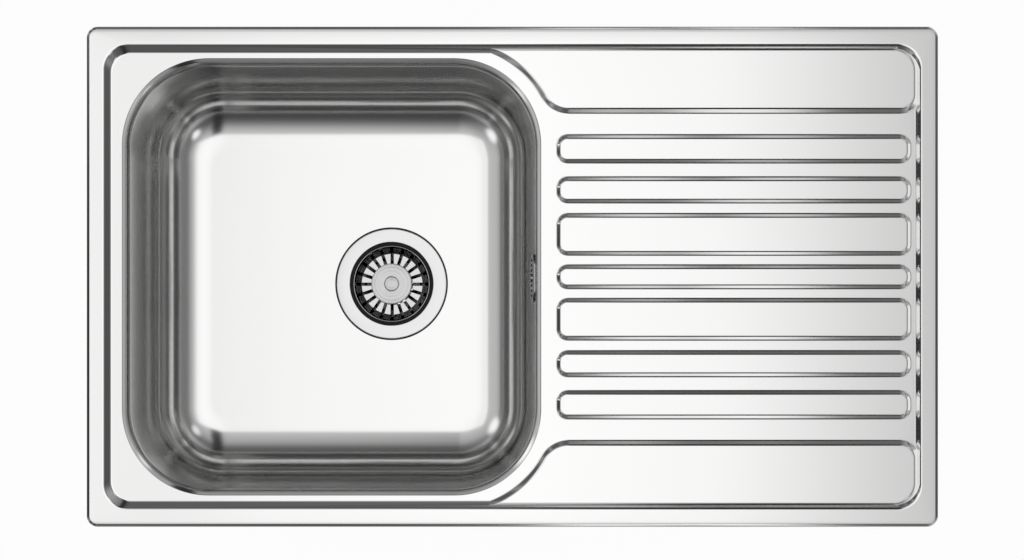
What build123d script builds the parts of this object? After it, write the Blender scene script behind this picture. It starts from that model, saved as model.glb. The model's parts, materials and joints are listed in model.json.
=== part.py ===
from build123d import *
from math import atan2, sqrt, tan
import os

# Inset kitchen sink with one bowl and a ribbed drainer, in millimetres.
# The origin is the centre of the rim's outline on the worktop. +X runs to the
# drainer, +Y to the back edge and +Z up.

os.makedirs("parts", exist_ok=True)

# ---- driving dimensions ----

# sink top
top_length = 800.0
top_depth = 470.0
top_corner = 10.5
sheet = 0.8
rim_height = 4.0
rim_width = 15.0
rim_fold = 2.0
recess_corner = 24.0
recess_run = 4.0
deck_drop = 6.0

# raised corner panels of the drainer
panel_rise = 4.0
panel_run = 4.0
panel_front_edge = 156.25
panel_back_corner = 19.0
panel_front_corner = 11.5
panel_swing = 96.0
panel_reverse = 28.0

# drainer ribs, counted from the middle one outwards
rib_rise = 3.0
rib_run = 5.8
rib_start = 40.5
rib_end_gap = 9.0
rib_corner = 11.5
middle_rib_width = 24.8
wide_rib_width = 41.6
narrow_rib_width = 26.9
outer_rib_width = 29.0
wide_rib_place = 39.9
narrow_rib_place = 81.7
outer_rib_place = 120.3

# bowl
bowl_x = -170.2
mouth_length = 394.7
mouth_depth = 411.6
mouth_corner = 82.0
lip_drop = 0.6
lip_width = 4.4
lip_round = 1.5
collar_height = 4.4
bowl_depth = 163.0
bowl_draft_run = 14.4
bowl_bottom_round = 50.0
pad_length = 232.0
pad_depth = 244.0
pad_corner = 30.0
pad_thickness = 3.0
pad_margin = 2.5

# basket waste
waste_x = -122.0
flange_diameter = 114.0
flange_thickness = 1.0
seat_margin = 1.5
cup_opening = 84.0
cup_wall = 1.0
cup_floor_opening = 68.0
cup_straight = 12.0
cup_height = 32.0
cup_floor_holes = 6
cup_floor_hole = 12.0
cup_seal_thickness = 1.0
floor_hole_gap = 2.0
body_seal_thickness = 2.2
body_seal_width = 7.0
body_wall = 3.0
body_gap = 1.5
body_floor_gap = 6.0
outlet_diameter = 47.8
outlet_bore = 40.0
outlet_length = 30.0
tail_flange = 3.0
tail_flange_diameter = 62.0
hub_diameter = 18.0
spoke_width = 4.0
fixing_screw_thread = 12.0
fixing_screw_head = 18.0
fixing_screw_head_height = 3.0
fixing_screw_length = 18.0

# strainer basket
basket_sheet = 0.8
basket_rim_radius = 39.2
basket_flat_radius = 30.0
basket_drop = 12.0
basket_below_floor = 1.0
slot_count = 20
slot_width = 2.2
slot_inner = 20.7
slot_outer = 37.4
seal_gap = 0.3
seal_height = 4.0
knob_diameter = 41.0
knob_thickness = 3.0
knob_neck = 17.0
knob_bevel = 1.0
rivet_head = 14.0
rivet_proud = 0.3
rivet_shank = 6.0
stem_diameter = 8.0
stem_length = 22.0
stem_tip = 2.0
stem_groove = 1.0
socket_play = 2.0
stem_ring_width = 2.0
stem_ring_proud = 0.6
running_gap = 0.08

# overflow
overflow_drop = 28.0
rose_length = 46.0
rose_height = 24.0
rose_thickness = 2.5
rose_slot_width = 2.6
rose_slot_height = 13.0
rose_slot_pitch = 5.0
rose_slots_each_side = 3
overflow_hole_length = 40.0
overflow_hole_height = 18.0
overflow_seal_thickness = 2.0
overflow_seal_width = 5.0
overflow_flange_thickness = 3.0
overflow_box_depth = 32.0
overflow_wall = 2.0
overflow_screw_shank = 4.0
overflow_screw_head = 8.0
overflow_screw_boss = 9.0
overflow_screw_crown = 1.2
overflow_screw_slot = 1.0
overflow_slot_depth = 0.7
rose_edge_round = 1.5
rose_slot_start = 2.0
pipe_outer = 20.0
pipe_wall = 2.0
pipe_bend = 30.0
pipe_stand_off = 24.0
pipe_engagement = 14.0
spigot_length = 20.0
spigot_wall = 3.0
inlet_rise = 4.0
nut_wall = 3.0
nut_length = 16.0
nut_lip = 3.0
nut_ribs = 12
nut_grip = 1.5
washer_length = 4.0

# clamping clips under the rim
clip_inset = 22.0
clip_shelf_level = -28.5
clip_metal = 1.5
clip_width = 20.0
clip_shelf_reach = 7.0
clip_collar = 3.5
clip_collar_wall = 2.0
clip_screw_thread = 6.0
clip_screw_rise = 4.0
clip_screw_length = 36.0
clip_screw_head = 10.0
clip_screw_head_height = 4.0
clip_slot_width = 1.4
clip_slot_depth = 2.0
claw_hub = 11.0
claw_hub_height = 6.0
claw_width = 9.0
claw_arm_thickness = 2.5
claw_reach = 30.0
claw_tip_height = 10.0
claw_play = 0.2
foot_width = 3.8
web_gap = 0.6
long_side_clips = (-330.0, -20.0, 330.0)

# foam seal under the rim
foam_inset = 2.5
foam_width = 7.5
foam_corner = 3.0

# ---- levels and places worked out from them ----

deck_level = rim_height - deck_drop
lip_level = deck_level - lip_drop
collar_level = lip_level - collar_height
floor_level = deck_level - bowl_depth
panel_level = deck_level + panel_rise
rib_level = deck_level + rib_rise
rib_length = top_length / 2 - rim_width - rib_end_gap - rib_start
rib_x = rib_start + rib_length / 2
mouth_right = bowl_x + mouth_length / 2

seat_depth = flange_thickness + cup_seal_thickness
seat_level = floor_level - seat_depth
seat_radius = flange_diameter / 2 + seat_margin
cup_radius = cup_opening / 2
cup_outer = cup_radius + cup_wall
floor_hole_radius = cup_outer + floor_hole_gap
cup_floor_level = floor_level - cup_height
body_seal_level = seat_level - sheet - body_seal_thickness
body_inner = cup_outer + body_gap
body_outer = body_inner + body_wall
body_seal_outer = body_outer + body_seal_width
body_floor_level = cup_floor_level - cup_wall - body_floor_gap
body_under_level = body_floor_level - body_wall
outlet_end = body_under_level - outlet_length
socket_radius = stem_diameter / 2 + stem_ring_proud + running_gap

basket_rim_level = floor_level - basket_below_floor
basket_flat_level = basket_rim_level - basket_drop
basket_under_level = basket_flat_level - basket_sheet
stem_end_level = basket_under_level - stem_length
rivet_grip = stem_length / 3

draft_slope = bowl_draft_run / (collar_level - floor_level)
floor_shift = draft_slope * sheet
overflow_level = -overflow_drop
overflow_x = mouth_right - lip_width - draft_slope * (collar_level - overflow_level)
pipe_x = overflow_x + pipe_stand_off
pipe_top_level = overflow_level - rose_height / 2 - overflow_seal_width - spigot_length
pipe_radius = pipe_outer / 2
pipe_bore_radius = pipe_radius - pipe_wall
inlet_level = cup_floor_level + inlet_rise
inlet_end = waste_x + body_outer + spigot_length


def wall_shift(rise, run):
    """How far a sloping wall's other face moves sideways for one sheet's thickness."""
    return sheet * tan(atan2(rise, run) / 2)


def tapered(lower, upper):
    """A solid between two outlines of the same build at two levels."""
    with BuildPart() as block:
        loft(sections=[lower, upper], ruled=True)
    return block.part


def rounded(level, x, y, length, depth, corner):
    """A rounded rectangle at a level, centred on x, y."""
    with BuildSketch(Plane.XY.offset(level)) as outline:
        with Locations((x, y)):
            RectangleRounded(length, depth, corner)
    return outline.sketch


def recess_outline(level, inset):
    """The rim's inner edge, moved inwards by inset."""
    shrink = 2 * (rim_width + inset)
    return rounded(level, 0, 0, top_length - shrink, top_depth - shrink, recess_corner - inset)


def mouth_outline(level, inset):
    """The bowl's mouth, moved inwards by inset."""
    length = mouth_length - 2 * inset
    return rounded(level, bowl_x, 0, length, mouth_depth - 2 * inset, mouth_corner - inset)


def rib_outline(level, place, width, inset):
    """One drainer rib's outline, moved inwards by inset."""
    return rounded(
        level, rib_x, place, rib_length - 2 * inset, width - 2 * inset, rib_corner - inset
    )


def panel_outline(level, inset):
    """The back corner panel's outline: a long plate whose left end swings round the bowl's
    corner and back into the straight front edge. Inset moves it inwards from its foot."""
    shift = inset - panel_run / 2
    bowl_corner_x = mouth_right - mouth_corner
    bowl_corner_y = mouth_depth / 2 - mouth_corner
    swing = panel_swing + shift
    reverse = panel_reverse - shift
    front = panel_front_edge + shift
    back = top_depth / 2 - rim_width - recess_run - inset
    end = top_length / 2 - rim_width - recess_run - inset
    reverse_y = front + reverse
    span = swing + reverse
    reverse_x = bowl_corner_x + sqrt(span**2 - (reverse_y - bowl_corner_y) ** 2)
    meet_x = bowl_corner_x + (reverse_x - bowl_corner_x) * swing / span
    meet_y = bowl_corner_y + (reverse_y - bowl_corner_y) * swing / span
    tip_x = bowl_corner_x + sqrt(swing**2 - (back - bowl_corner_y) ** 2)
    back_round = panel_back_corner - inset
    front_round = panel_front_corner - inset
    with BuildSketch(Plane.XY.offset(level)) as outline:
        with BuildLine():
            RadiusArc((tip_x, back), (meet_x, meet_y), swing)
            RadiusArc((meet_x, meet_y), (reverse_x, front), -reverse)
            Line((reverse_x, front), (end - front_round, front))
            RadiusArc((end - front_round, front), (end, front + front_round), -front_round)
            Line((end, front + front_round), (end, back - back_round))
            RadiusArc((end, back - back_round), (end - back_round, back), -back_round)
            Line((end - back_round, back), (tip_x, back))
        make_face()
    return outline.sketch


def write(piece, name):
    """Label a finished piece and write it under its own name."""
    piece.label = name
    export_step(piece, f"parts/{name}.step")


# ---- sink top: folded rim, recessed deck, panels, ribs and the bowl's mouth ----

rib_rows = [(0.0, middle_rib_width)]
for side in (1, -1):
    rib_rows.append((side * wide_rib_place, wide_rib_width))
    rib_rows.append((side * narrow_rib_place, narrow_rib_width))
    rib_rows.append((side * outer_rib_place, outer_rib_width))

recess_shift = wall_shift(deck_drop, recess_run)
panel_shift = wall_shift(panel_rise, panel_run)
rib_shift = wall_shift(rib_rise, rib_run)

with BuildPart() as panels_above:
    add(tapered(panel_outline(deck_level, 0), panel_outline(panel_level, panel_run)))
    mirror(about=Plane.XZ)

with BuildPart() as panels_below:
    low = panel_outline(deck_level - sheet, panel_shift)
    high = panel_outline(panel_level - sheet, panel_run + panel_shift)
    add(tapered(low, high))
    mirror(about=Plane.XZ)

with BuildPart() as mouth_lip:
    with BuildSketch(Plane.XY.offset(lip_level)):
        add(mouth_outline(0, -sheet))
        add(mouth_outline(0, lip_width), mode=Mode.SUBTRACT)
    extrude(amount=-sheet)
    with BuildSketch(Plane.XY.offset(lip_level)):
        add(mouth_outline(0, lip_width - sheet))
        add(mouth_outline(0, lip_width), mode=Mode.SUBTRACT)
    extrude(amount=-collar_height)
    top_face = mouth_lip.faces().sort_by(Axis.Z)[-1]
    fillet(top_face.inner_wires()[0].edges(), radius=lip_round)

with BuildPart() as sink_top:
    with BuildSketch():
        RectangleRounded(top_length, top_depth, top_corner)
    extrude(amount=rim_height)
    fillet(sink_top.faces().sort_by(Axis.Z)[-1].edges(), radius=rim_fold)
    with BuildSketch():
        RectangleRounded(top_length - 2 * sheet, top_depth - 2 * sheet, top_corner - sheet)
    extrude(amount=rim_height - sheet, mode=Mode.SUBTRACT)
    # the tub of the deck
    under = deck_level - sheet
    add(
        tapered(
            recess_outline(under, recess_run - recess_shift),
            recess_outline(rim_height - sheet, -recess_shift),
        )
    )
    add(
        tapered(recess_outline(deck_level, recess_run), recess_outline(rim_height, 0)),
        mode=Mode.SUBTRACT,
    )
    # panels and ribs, pressed up from below
    add(panels_above.part)
    add(panels_below.part, mode=Mode.SUBTRACT)
    for place, width in rib_rows:
        foot = rib_outline(deck_level, place, width, 0)
        crown = rib_outline(rib_level, place, width, rib_run)
        add(tapered(foot, crown))
        foot = rib_outline(under, place, width, rib_shift)
        crown = rib_outline(rib_level - sheet, place, width, rib_run + rib_shift)
        add(tapered(foot, crown), mode=Mode.SUBTRACT)
    # the bowl's mouth with its lip and turned-down collar
    with BuildSketch(Plane.XY.offset(under)):
        add(mouth_outline(0, 0))
    extrude(amount=sheet, mode=Mode.SUBTRACT)
    add(mouth_lip.part)

write(sink_top.part, "sink_top")

with BuildPart() as rim_seal:
    with BuildSketch():
        outer = 2 * foam_inset
        RectangleRounded(top_length - outer, top_depth - outer, top_corner - foam_inset)
        inner = 2 * (foam_inset + foam_width)
        RectangleRounded(top_length - inner, top_depth - inner, foam_corner, mode=Mode.SUBTRACT)
    extrude(amount=rim_height - sheet)

write(rim_seal.part, "rim_seal")

# ---- bowl ----

overflow_plane = Plane(
    origin=(overflow_x, 0, overflow_level),
    x_dir=(0, 1, 0),
    z_dir=(-1, 0, draft_slope),
)

with BuildPart() as bowl:
    add(
        tapered(
            mouth_outline(floor_level - sheet, lip_width + bowl_draft_run + floor_shift - sheet),
            mouth_outline(collar_level, lip_width - sheet),
        )
    )
    fillet(bowl.faces().sort_by(Axis.Z)[0].edges(), radius=bowl_bottom_round + sheet)
    with Locations((waste_x, 0, seat_level - sheet)):
        Cylinder(
            seat_radius + sheet,
            seat_depth,
            align=(Align.CENTER, Align.CENTER, Align.MIN),
        )

with BuildPart() as bowl_hollow:
    add(
        tapered(
            mouth_outline(floor_level, lip_width + bowl_draft_run),
            mouth_outline(collar_level, lip_width),
        )
    )
    fillet(bowl_hollow.faces().sort_by(Axis.Z)[0].edges(), radius=bowl_bottom_round)
    with Locations((waste_x, 0, seat_level)):
        Cylinder(seat_radius, seat_depth, align=(Align.CENTER, Align.CENTER, Align.MIN))
    with Locations((waste_x, 0, seat_level - 2 * sheet)):
        Cylinder(floor_hole_radius, 4 * sheet, align=(Align.CENTER, Align.CENTER, Align.MIN))
    with BuildSketch(overflow_plane):
        SlotOverall(overflow_hole_length, overflow_hole_height)
    extrude(amount=2 * sheet, both=True)

with BuildPart() as bowl_shell:
    add(bowl.part)
    add(bowl_hollow.part, mode=Mode.SUBTRACT)

write(bowl_shell.part, "bowl")

with BuildPart() as bowl_pad:
    with BuildSketch(Plane.XY.offset(floor_level - sheet)):
        with Locations((bowl_x, 0)):
            RectangleRounded(pad_length, pad_depth, pad_corner)
        with Locations((waste_x, 0)):
            Circle(max(seat_radius + sheet, body_seal_outer) + pad_margin, mode=Mode.SUBTRACT)
    extrude(amount=-pad_thickness)

write(bowl_pad.part, "bowl_pad")

# ---- basket waste ----

waste_plane = Plane(origin=(waste_x, 0, 0), x_dir=(1, 0, 0), z_dir=(0, -1, 0))
waste_axis = Axis((waste_x, 0, 0), (0, 0, 1))


def ring(level, inner, outer, height):
    """A flat ring about the waste's axis."""
    with BuildPart() as band:
        with BuildSketch(Plane.XY.offset(level)):
            with Locations((waste_x, 0)):
                Circle(outer)
                Circle(inner, mode=Mode.SUBTRACT)
        extrude(amount=height)
    return band.part


cup_floor_radius = cup_floor_opening / 2
cone_level = floor_level - cup_straight

with BuildPart() as strainer_cup:
    with BuildSketch(waste_plane):
        with BuildLine():
            Polyline(
                (cup_radius, floor_level),
                (flange_diameter / 2, floor_level),
                (flange_diameter / 2, floor_level - flange_thickness),
                (cup_outer, floor_level - flange_thickness),
                (cup_outer, cone_level),
                (cup_floor_radius + cup_wall, cup_floor_level - cup_wall),
                (0, cup_floor_level - cup_wall),
                (0, cup_floor_level),
                (cup_floor_radius, cup_floor_level),
                (cup_radius, cone_level),
                close=True,
            )
        make_face()
    revolve(axis=waste_axis)
    with Locations((waste_x, 0, cup_floor_level)):
        Hole(fixing_screw_thread / 2 + running_gap)
        with PolarLocations((fixing_screw_head / 2 + cup_floor_radius) / 2, cup_floor_holes):
            Hole(cup_floor_hole / 2)

write(strainer_cup.part, "strainer_cup")

cup_seal = ring(seat_level, floor_hole_radius, flange_diameter / 2, cup_seal_thickness)
write(cup_seal, "cup_seal")

body_seal = ring(body_seal_level, floor_hole_radius, body_seal_outer, body_seal_thickness)
write(body_seal, "body_seal")

thread_radius = fixing_screw_thread / 2
hub_level = cup_floor_level - cup_wall
inlet_plane = Plane(origin=(inlet_end, 0, inlet_level), x_dir=(0, 1, 0), z_dir=(-1, 0, 0))

with BuildPart() as waste_body:
    with BuildSketch(waste_plane):
        with BuildLine():
            Polyline(
                (body_inner, body_seal_level),
                (body_seal_outer, body_seal_level),
                (body_seal_outer, body_seal_level - body_wall),
                (body_outer, body_seal_level - body_wall),
                (body_outer, body_under_level),
                (outlet_bore / 2, body_under_level),
                (outlet_bore / 2, body_floor_level),
                (body_inner, body_floor_level),
                close=True,
            )
        make_face()
    revolve(axis=waste_axis)
    # hub for the fixing screw, on spokes across the outlet
    with BuildSketch(Plane.XY.offset(hub_level)):
        with Locations((waste_x, 0)):
            Circle(hub_diameter / 2)
    extrude(amount=body_under_level - hub_level)
    with BuildSketch(Plane.XY.offset(body_floor_level)):
        with Locations((waste_x, 0)):
            Rectangle(outlet_bore + 2 * body_wall, spoke_width)
            Rectangle(spoke_width, outlet_bore + 2 * body_wall)
    extrude(amount=-body_wall)
    with BuildSketch(inlet_plane):
        Circle(pipe_radius + running_gap + spigot_wall)
    extrude(amount=spigot_length + body_wall)
    with BuildSketch(inlet_plane):
        Circle(pipe_radius + running_gap)
    extrude(amount=pipe_engagement, mode=Mode.SUBTRACT)
    with BuildSketch(inlet_plane):
        Circle(pipe_bore_radius)
    extrude(amount=spigot_length + 2 * body_wall, mode=Mode.SUBTRACT)
    with Locations((waste_x, 0, hub_level)):
        Hole(thread_radius + running_gap)

write(waste_body.part, "waste_body")

with BuildPart() as outlet_tail:
    add(ring(body_under_level - tail_flange, outlet_bore / 2, tail_flange_diameter / 2, tail_flange))
    add(ring(outlet_end, outlet_bore / 2, outlet_diameter / 2, outlet_length))

write(outlet_tail.part, "outlet_tail")

screw_head_level = cup_floor_level + fixing_screw_head_height
socket_depth = screw_head_level - stem_end_level + socket_play

with BuildPart() as fixing_screw:
    with BuildSketch(Plane.XY.offset(cup_floor_level)):
        with Locations((waste_x, 0)):
            RegularPolygon(fixing_screw_head / 2, 6)
    extrude(amount=fixing_screw_head_height)
    with BuildSketch(Plane.XY.offset(cup_floor_level)):
        with Locations((waste_x, 0)):
            Circle(thread_radius)
    extrude(amount=-fixing_screw_length)
    with Locations((waste_x, 0, screw_head_level)):
        Hole(socket_radius, depth=socket_depth)

write(fixing_screw.part, "fixing_screw")

# ---- strainer basket ----

basket_round = basket_rim_radius - basket_flat_radius
round_start = basket_under_level + basket_round
basket_bore = basket_rim_radius - basket_sheet

with BuildPart() as basket:
    with BuildSketch(waste_plane):
        with BuildLine():
            Polyline(
                (basket_flat_radius, basket_flat_level),
                (0, basket_flat_level),
                (0, basket_under_level),
                (basket_flat_radius, basket_under_level),
            )
            RadiusArc(
                (basket_flat_radius, basket_under_level),
                (basket_rim_radius, round_start),
                -basket_round,
            )
            Polyline(
                (basket_rim_radius, round_start),
                (basket_rim_radius, basket_rim_level),
                (basket_bore, basket_rim_level),
                (basket_bore, round_start),
            )
            RadiusArc(
                (basket_bore, round_start),
                (basket_flat_radius, basket_flat_level),
                basket_round - basket_sheet,
            )
        make_face()
    revolve(axis=waste_axis)
    with BuildSketch(Plane.XY.offset(basket_rim_level)):
        with Locations((waste_x, 0)):
            with PolarLocations((slot_inner + slot_outer) / 2, slot_count):
                SlotOverall(slot_outer - slot_inner, slot_width)
    extrude(amount=-basket_drop - 2 * basket_sheet, mode=Mode.SUBTRACT)
    with Locations((waste_x, 0, basket_flat_level)):
        Hole(rivet_shank / 2 + running_gap)

write(basket.part, "basket")

basket_seal = ring(
    basket_rim_level - seal_height, basket_rim_radius, cup_radius - seal_gap, seal_height
)
write(basket_seal, "basket_seal")

knob_level = floor_level
knob_under = knob_level - knob_thickness

with BuildPart() as basket_knob:
    with BuildSketch(waste_plane):
        with BuildLine():
            Polyline(
                (0, knob_level),
                (knob_diameter / 2 - knob_bevel, knob_level),
                (knob_diameter / 2, knob_level - knob_bevel),
                (knob_diameter / 2, knob_under),
                (knob_neck / 2, knob_under),
                (knob_neck / 2, basket_flat_level),
                (0, basket_flat_level),
                close=True,
            )
        make_face()
    revolve(axis=waste_axis)
    with Locations((waste_x, 0, knob_level)):
        Hole(rivet_shank / 2 + running_gap)
        Hole(rivet_head / 2 + running_gap, depth=knob_thickness / 2)

write(basket_knob.part, "basket_knob")

with BuildPart() as basket_rivet:
    with BuildSketch(Plane.XY.offset(knob_level + rivet_proud)):
        with Locations((waste_x, 0)):
            Circle(rivet_head / 2)
    extrude(amount=-rivet_proud - knob_thickness / 2)
    with BuildSketch(Plane.XY.offset(knob_level - knob_thickness / 2)):
        with Locations((waste_x, 0)):
            Circle(rivet_shank / 2)
    extrude(amount=basket_under_level - rivet_grip - knob_level + knob_thickness / 2)

write(basket_rivet.part, "basket_rivet")

stem_ring_level = stem_end_level + stem_tip
groove_radius = stem_diameter / 2 - stem_groove

with BuildPart() as basket_stem:
    with BuildSketch(Plane.XY.offset(basket_under_level)):
        with Locations((waste_x, 0)):
            Circle(stem_diameter / 2)
    extrude(amount=-stem_length)
    with BuildSketch(Plane.XY.offset(basket_under_level)):
        with Locations((waste_x, 0)):
            Circle(rivet_shank / 2)
    extrude(amount=-rivet_grip, mode=Mode.SUBTRACT)
    add(
        ring(stem_ring_level, groove_radius, stem_diameter, stem_ring_width),
        mode=Mode.SUBTRACT,
    )

write(basket_stem.part, "basket_stem")

stem_ring_radius = stem_diameter / 2 + stem_ring_proud
stem_ring = ring(stem_ring_level, groove_radius, stem_ring_radius, stem_ring_width)
write(stem_ring, "stem_ring")

# ---- overflow ----

back_of_wall = -sheet
back_of_seal = back_of_wall - overflow_seal_thickness
back_of_flange = back_of_seal - overflow_flange_thickness
back_of_box = back_of_seal - overflow_box_depth
flange_length = overflow_hole_length + 2 * overflow_seal_width
flange_height = overflow_hole_height + 2 * overflow_seal_width
box_length = overflow_hole_length + 2 * overflow_wall
box_height = overflow_hole_height + 2 * overflow_wall

with BuildPart() as overflow_rose:
    with BuildSketch(overflow_plane):
        SlotOverall(rose_length, rose_height)
    extrude(amount=rose_thickness)
    fillet(overflow_rose.faces().sort_by(Axis.X)[0].edges(), radius=rose_edge_round)
    with BuildSketch(overflow_plane):
        for side in (1, -1):
            for step in range(rose_slots_each_side):
                with Locations((side * (rose_slot_pitch * (step + 1) + rose_slot_start), 0)):
                    SlotOverall(rose_slot_height, rose_slot_width, rotation=90)
    extrude(amount=rose_thickness, mode=Mode.SUBTRACT)
    with BuildSketch(overflow_plane):
        Circle(overflow_screw_shank / 2 + running_gap)
    extrude(amount=rose_thickness, mode=Mode.SUBTRACT)

write(overflow_rose.part, "overflow_rose")

with BuildPart() as overflow_screw:
    with BuildSketch(overflow_plane.offset(rose_thickness)):
        Circle(overflow_screw_head / 2)
    extrude(amount=overflow_screw_crown)
    with BuildSketch(overflow_plane.offset(rose_thickness)):
        Circle(overflow_screw_shank / 2)
    extrude(amount=back_of_box + overflow_wall - rose_thickness)
    with BuildSketch(overflow_plane.offset(rose_thickness + overflow_screw_crown)):
        Rectangle(overflow_screw_head, overflow_screw_slot)
    extrude(amount=-overflow_slot_depth, mode=Mode.SUBTRACT)

write(overflow_screw.part, "overflow_screw")

with BuildPart() as overflow_seal:
    with BuildSketch(overflow_plane.offset(back_of_seal)):
        SlotOverall(flange_length, flange_height)
        SlotOverall(overflow_hole_length, overflow_hole_height, mode=Mode.SUBTRACT)
    extrude(amount=overflow_seal_thickness)

write(overflow_seal.part, "overflow_seal")

spigot_radius = pipe_radius + running_gap + spigot_wall
spigot_plane = Plane(origin=(pipe_x, 0, pipe_top_level), x_dir=(1, 0, 0), z_dir=(0, 0, 1))

with BuildPart() as overflow_body:
    with BuildSketch(overflow_plane.offset(back_of_flange)):
        SlotOverall(flange_length, flange_height)
    extrude(amount=overflow_flange_thickness)
    with BuildSketch(overflow_plane.offset(back_of_box)):
        SlotOverall(box_length, box_height)
    extrude(amount=overflow_box_depth)
    with BuildSketch(spigot_plane):
        Circle(spigot_radius)
    extrude(amount=overflow_level - pipe_top_level)
    with BuildSketch(overflow_plane.offset(back_of_box + overflow_wall)):
        SlotOverall(overflow_hole_length, overflow_hole_height)
    extrude(amount=overflow_box_depth, mode=Mode.SUBTRACT)
    with BuildSketch(overflow_plane.offset(back_of_box + overflow_wall)):
        Circle(overflow_screw_boss / 2)
    extrude(amount=overflow_box_depth - overflow_wall)
    with BuildSketch(overflow_plane.offset(back_of_box + overflow_wall)):
        Circle(overflow_screw_shank / 2)
    extrude(amount=overflow_box_depth, mode=Mode.SUBTRACT)
    with BuildSketch(spigot_plane):
        Circle(pipe_radius + running_gap)
    extrude(amount=pipe_engagement, mode=Mode.SUBTRACT)
    with BuildSketch(spigot_plane):
        Circle(pipe_bore_radius)
    extrude(amount=overflow_level - overflow_hole_height / 4 - pipe_top_level, mode=Mode.SUBTRACT)

write(overflow_body.part, "overflow_body")

pipe_top = pipe_top_level + pipe_engagement
pipe_end = inlet_end - pipe_engagement

with BuildPart() as overflow_pipe:
    with BuildLine() as pipe_path:
        FilletPolyline(
            (pipe_x, 0, pipe_top), (pipe_x, 0, inlet_level), (pipe_end, 0, inlet_level),
            radius=pipe_bend,
        )
    with BuildSketch(Plane(origin=(pipe_x, 0, pipe_top), z_dir=(0, 0, -1))):
        Circle(pipe_radius)
        Circle(pipe_bore_radius, mode=Mode.SUBTRACT)
    sweep(path=pipe_path.line)

write(overflow_pipe.part, "overflow_pipe")


def union_nut(mouth):
    """A ribbed union nut round a spigot: mouth is the spigot's end, its normal into it."""
    nut_radius = spigot_radius + running_gap + nut_wall
    lip_start = mouth.offset(-washer_length)
    with BuildPart() as nut:
        with BuildSketch(lip_start.offset(-nut_lip)):
            Circle(nut_radius)
            with PolarLocations(nut_radius, nut_ribs):
                Circle(nut_grip)
        extrude(amount=nut_length)
        with BuildSketch(lip_start):
            Circle(spigot_radius + running_gap)
        extrude(amount=nut_length, mode=Mode.SUBTRACT)
        with BuildSketch(lip_start.offset(-nut_lip)):
            Circle(pipe_radius + running_gap)
        extrude(amount=nut_length, mode=Mode.SUBTRACT)
    return nut.part


def cone_washer(mouth):
    """The rubber washer squeezed between a spigot's end and its nut's lip."""
    with BuildPart() as washer:
        with BuildSketch(mouth):
            Circle(spigot_radius)
            Circle(pipe_radius, mode=Mode.SUBTRACT)
        extrude(amount=-washer_length)
    return washer.part


write(union_nut(spigot_plane), "overflow_nut_top")
write(union_nut(inlet_plane), "overflow_nut_bottom")
write(cone_washer(spigot_plane), "overflow_washer_top")
write(cone_washer(inlet_plane), "overflow_washer_bottom")

# ---- clamping clips ----


def clip_frame(edge_distance, turn, along):
    """Where a clip's screw stands: local +Y points out over the edge, +X along it."""
    edge = Plane(Location((0, 0, 0), (0, 0, turn)))
    return edge.shift_origin(edge.from_local_coords((along, edge_distance - clip_inset, 0)))


clip_frames = []
for place in long_side_clips:
    clip_frames.append(clip_frame(top_depth / 2, 0, place))
clip_frames.append(clip_frame(top_length / 2, 90, 0))
for place in long_side_clips:
    clip_frames.append(clip_frame(top_depth / 2, 180, -place))
clip_frames.append(clip_frame(top_length / 2, 270, 0))

web_outer = clip_inset - rim_width + recess_shift + clip_metal + web_gap
web_inner = web_outer - clip_metal
foot_level = rim_height - sheet
screw_radius = clip_screw_thread / 2
screw_top = clip_shelf_level + clip_screw_rise
screw_end = screw_top - clip_screw_length
claw_level = screw_end + claw_play

with BuildPart() as clip_brackets:
    for frame in clip_frames:
        with BuildSketch(frame.offset(clip_shelf_level)):
            with Locations((0, (web_outer - clip_shelf_reach) / 2)):
                Rectangle(clip_width, web_outer + clip_shelf_reach)
        extrude(amount=-clip_metal)
        with BuildSketch(frame.offset(clip_shelf_level - clip_metal)):
            with Locations((0, (web_outer + web_inner) / 2)):
                Rectangle(clip_width, clip_metal)
        extrude(amount=foot_level - clip_shelf_level + clip_metal)
        with BuildSketch(frame.offset(foot_level)):
            with Locations((0, web_inner + foot_width / 2)):
                Rectangle(clip_width, foot_width)
        extrude(amount=-clip_metal)
        with BuildSketch(frame.offset(clip_shelf_level - clip_metal)):
            Circle(screw_radius + running_gap + clip_collar_wall)
        extrude(amount=-clip_collar)
        with BuildSketch(frame.offset(clip_shelf_level)):
            Circle(screw_radius + running_gap)
        extrude(amount=-clip_metal - clip_collar, mode=Mode.SUBTRACT)

write(clip_brackets.part, "clip_brackets")

for number, frame in enumerate(clip_frames, start=1):
    with BuildPart() as clip_screw:
        with BuildSketch(frame.offset(screw_end)):
            Circle(screw_radius)
        extrude(amount=clip_screw_length)
        with BuildSketch(frame.offset(screw_end)):
            Circle(clip_screw_head / 2)
        extrude(amount=-clip_screw_head_height)
        with BuildSketch(frame.offset(screw_end - clip_screw_head_height)):
            Rectangle(clip_screw_head, clip_slot_width)
        extrude(amount=clip_slot_depth, mode=Mode.SUBTRACT)
    write(clip_screw.part, f"clip_screw_{number}")

    with BuildPart() as clip_claw:
        with BuildSketch(frame.offset(claw_level)):
            Circle(claw_hub / 2)
        extrude(amount=claw_hub_height)
        with BuildSketch(frame.offset(claw_level)):
            with Locations((claw_reach / 2, 0)):
                Rectangle(claw_reach, claw_width)
        extrude(amount=claw_arm_thickness)
        with BuildSketch(frame.offset(claw_level)):
            with Locations((claw_reach - claw_arm_thickness / 2, 0)):
                Rectangle(claw_arm_thickness, claw_width)
        extrude(amount=claw_arm_thickness + claw_tip_height)
        with BuildSketch(frame.offset(claw_level)):
            Circle(screw_radius + running_gap)
        extrude(amount=claw_hub_height, mode=Mode.SUBTRACT)
    write(clip_claw.part, f"clip_claw_{number}")
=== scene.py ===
"""Looks of an inset stainless kitchen sink with a ribbed drainer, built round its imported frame."""

import json
import logging
import math
from dataclasses import astuple, dataclass, field
from enum import Enum

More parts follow.
